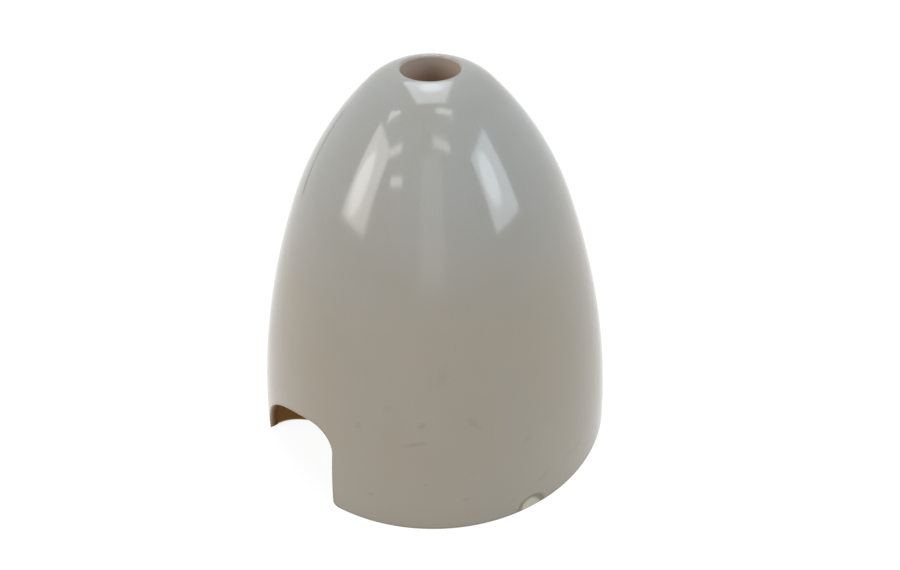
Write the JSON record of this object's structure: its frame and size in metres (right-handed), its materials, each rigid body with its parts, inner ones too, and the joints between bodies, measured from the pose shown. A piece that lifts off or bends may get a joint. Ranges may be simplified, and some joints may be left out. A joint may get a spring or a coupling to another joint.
{
  "type": "propeller spinner",
  "caption": "Rounded conical spinner shell for a model aircraft propeller, open at the rim, with a round hole in the nose and arched blade slots in opposite sides.",
  "frame": {"origin": "centre of the circle of the open rim, in the rim's plane", "axes": "+Z along the axis of rotation towards the nose; the blades leave through the slots along -X and +X"},
  "size_m": [0.0546, 0.0572, 0.0594],
  "materials": {
    "shell": "moulded, glossy outside, duller inside"
  },
  "bodies": {
    "root": {"spinner_shell": "shell"}
  },
  "joints": []
}
